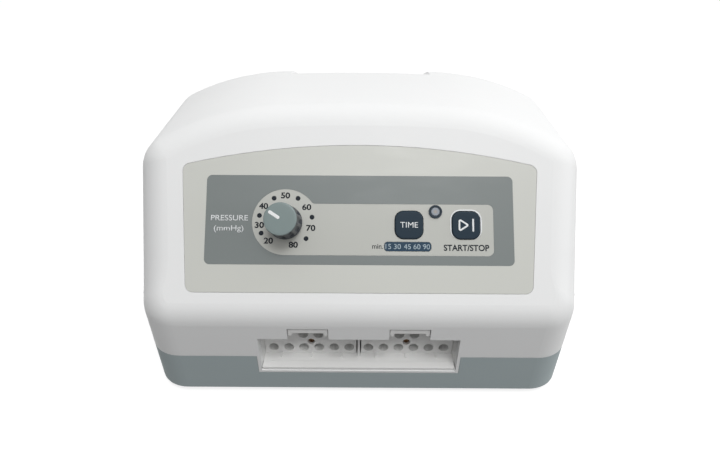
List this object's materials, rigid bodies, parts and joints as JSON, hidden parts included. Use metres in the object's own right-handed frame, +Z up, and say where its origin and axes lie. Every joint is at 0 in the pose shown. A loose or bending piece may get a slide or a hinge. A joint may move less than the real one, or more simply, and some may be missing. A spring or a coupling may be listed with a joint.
{
  "type": "compression therapy pump",
  "caption": "Desktop air pump for compression sleeves: white cover on a grey base, leaning panel with a pressure dial and keys, and rows of hose ports in a front recess.",
  "frame": {"origin": "on the table, under the middle of the case's length and width", "axes": "+Z up, +X to the right as the user faces the control panel, +Y from the front to the rear"},
  "size_m": [0.286, 0.1764, 0.1588],
  "materials": {
    "white_shell": "fine-textured satin",
    "grey_shell": "fine-textured satin",
    "recess_white": "satin",
    "overlay_sheet": "satin printed sheet",
    "knob_grey": "satin",
    "marker_white": "satin",
    "key_dark": "satin",
    "lamp_dark": "gloss",
    "lamp_clear": "frosted",
    "window_smoke": "gloss",
    "black_plastic": "satin",
    "red_rocker": "gloss",
    "foot_rubber": "matt",
    "screw_steel": "zinc plated",
    "screw_brass": "worn",
    "shaft_steel": "turned",
    "blade_nickel": "plated",
    "board_green": "solder mask",
    "part_black": "moulded",
    "part_metal": "drawn",
    "led_white": "gloss",
    "air_plastic": "moulded",
    "rotor_plastic": "moulded",
    "pump_frame": "zinc plated",
    "lamination": "varnished",
    "copper_coil": "enamelled",
    "diaphragm_rubber": "matt",
    "hose_rubber": "matt",
    "filter_foam": "open foam",
    "winding_tape": "taped"
  },
  "bodies": {
    "case": {"top_cover": "white_shell", "base_tray": "grey_shell", "rubber_feet": "foot_rubber", "case_screws": "screw_steel", "control_overlay": "overlay_sheet", "potentiometer": "part_metal", "potentiometer_nut": "screw_steel", "key_switches": "part_black", "lamp_ring": "lamp_dark", "lamp_lens": "lamp_clear", "time_window": "window_smoke", "light_baffle": "part_black", "indicator_leds": "led_white", "control_board": "board_green", "board_screws": "screw_steel", "port_tray": "recess_white", "left_port_block": "recess_white", "right_port_block": "recess_white", "block_screws": "screw_brass", "catch_pins": "shaft_steel", "air_manifold": "air_plastic", "pressure_sensor": "part_black", "distributor_housing": "air_plastic", "distributor_motor": "part_metal", "compressor_frame": "pump_frame", "compressor_cores": "lamination", "compressor_coils": "copper_coil", "compressor_diaphragms": "diaphragm_rubber", "compressor_heads": "air_plastic", "outlet_rail": "air_plastic", "supply_hose": "hose_rubber", "compressor_mounts": "foot_rubber", "vent_filter": "filter_foam", "power_inlet": "black_plastic", "inlet_pins": "blade_nickel", "inlet_screws": "screw_steel", "fuse_holder": "black_plastic", "switch_body": "black_plastic", "transformer_core": "lamination", "transformer_winding": "winding_tape", "power_board": "board_green", "board_parts": "part_metal"},
    "knob": {"pressure_knob": "knob_grey", "knob_pointer": "marker_white", "potentiometer_shaft": "shaft_steel"},
    "time_button": {"time_key": "key_dark"},
    "start_stop_button": {"start_stop_key": "key_dark"},
    "left_latch": {"left_catch": "recess_white"},
    "right_latch": {"right_catch": "recess_white"},
    "distributor_disc": {"distributor_rotor": "rotor_plastic"},
    "armature": {"compressor_armature": "shaft_steel"},
    "rocker": {"power_rocker": "red_rocker"}
  },
  "joints": [
    {"name": "knob_turn", "type": "hinge", "parent": "case", "child": "knob", "pos_m": [-0.0421, -0.05619, 0.10508], "axis": [0, -0.7955, 0.606], "range_deg": [-217, 80]},
    {"name": "time_key_press", "type": "slide", "parent": "case", "child": "time_button", "axis": [0, 0.7955, -0.606], "range_m": [0, 0.001], "stiffness_N_per_m": 600, "springref_m": -0.0006},
    {"name": "start_stop_key_press", "type": "slide", "parent": "case", "child": "start_stop_button", "axis": [0, 0.7955, -0.606], "range_m": [0, 0.001], "stiffness_N_per_m": 600, "springref_m": -0.0006},
    {"name": "left_catch_press", "type": "hinge", "parent": "case", "child": "left_latch", "pos_m": [-0.02927, -0.08205, 0.0592], "axis": [1, 0, 0], "range_deg": [0, 12], "stiffness_Nm_per_rad": 0.06, "springref_deg": -5.73},
    {"name": "right_catch_press", "type": "hinge", "parent": "case", "child": "right_latch", "pos_m": [0.02927, -0.08205, 0.0592], "axis": [1, 0, 0], "range_deg": [0, 12], "stiffness_Nm_per_rad": 0.06, "springref_deg": -5.73},
    {"name": "distributor_turn", "type": "hinge", "parent": "case", "child": "distributor_disc", "pos_m": [0, -0.03445, 0.037], "axis": [0, 1, 0], "continuous": true},
    {"name": "armature_stroke", "type": "slide", "parent": "case", "child": "armature", "axis": [1, 0, 0], "range_m": [-0.0015, 0.0015], "stiffness_N_per_m": 2000},
    {"name": "rocker_tilt", "type": "hinge", "parent": "case", "child": "rocker", "pos_m": [-0.027, 0.08305, 0.062], "axis": [1, 0, 0], "range_deg": [0, 20]}
  ]
}
